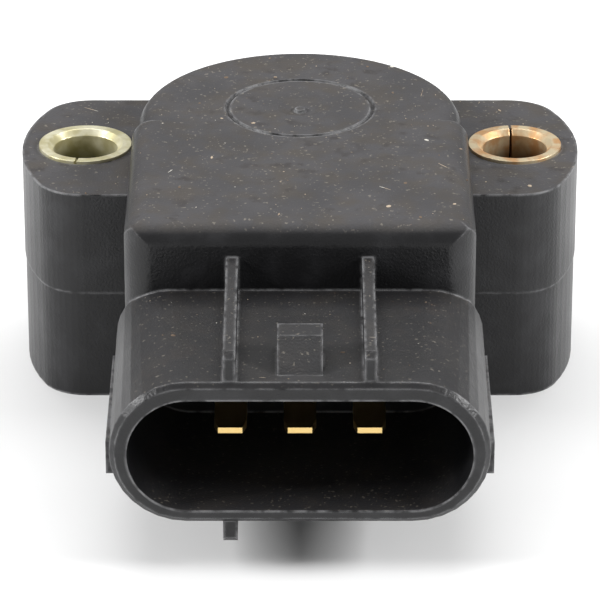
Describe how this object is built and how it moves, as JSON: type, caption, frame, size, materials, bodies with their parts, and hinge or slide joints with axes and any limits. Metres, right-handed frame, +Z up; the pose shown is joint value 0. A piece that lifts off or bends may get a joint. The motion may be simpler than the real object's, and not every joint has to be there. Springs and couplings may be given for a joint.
{
  "type": "rotary throttle position potentiometer",
  "caption": "Rotary potentiometer with a dome, two screw ears with steel bushings, a blade plug socket and a sprung rotor that a throttle shaft turns.",
  "frame": {"origin": "on the rotor axis, in the mounting face", "axes": "+Z up the rotor axis away from the mounting face, -Y out of the plug socket, +X to the right ear seen from the plug"},
  "size_m": [0.0516, 0.0607, 0.0243],
  "materials": {
    "black_plastic": "moulded glass-filled, dusty",
    "yellow_zinc_steel": "yellow-passivated zinc",
    "brass_blade": "bright brass",
    "card": "laminate",
    "carbon": "printed carbon",
    "silver_print": "printed silver",
    "solder": "solder",
    "sealant": "cured compound",
    "steel": "ground",
    "rotor_plastic": "moulded",
    "contact_alloy": "bright",
    "washer_plastic": "smooth",
    "cover_plastic": "moulded",
    "black_rubber": "smooth",
    "brown_rubber": "smooth"
  },
  "bodies": {
    "case": {"housing": "black_plastic", "left_bushing": "yellow_zinc_steel", "right_bushing": "yellow_zinc_steel", "terminal_1": "brass_blade", "terminal_2": "brass_blade", "terminal_3": "brass_blade", "element_card": "card", "resistive_track": "carbon", "conductor_tracks": "silver_print", "solder_joints": "solder", "terminal_sealant": "sealant", "pivot_pin": "steel", "return_spring": "steel", "thrust_washer": "washer_plastic", "cover_plate": "cover_plastic", "shaft_seal": "black_rubber", "mounting_seal": "brown_rubber"},
    "rotor_group": {"rotor": "rotor_plastic", "wiper_plate": "steel", "track_brush": "contact_alloy", "collector_brush": "contact_alloy"}
  },
  "joints": [
    {"name": "rotor_turn", "type": "hinge", "parent": "case", "child": "rotor_group", "pos_m": [0, 0, 0], "axis": [0, 0, 1], "range_deg": [0, 95], "stiffness_Nm_per_rad": 0.006, "springref_deg": -45.84, "deforming": ["return_spring"]}
  ]
}
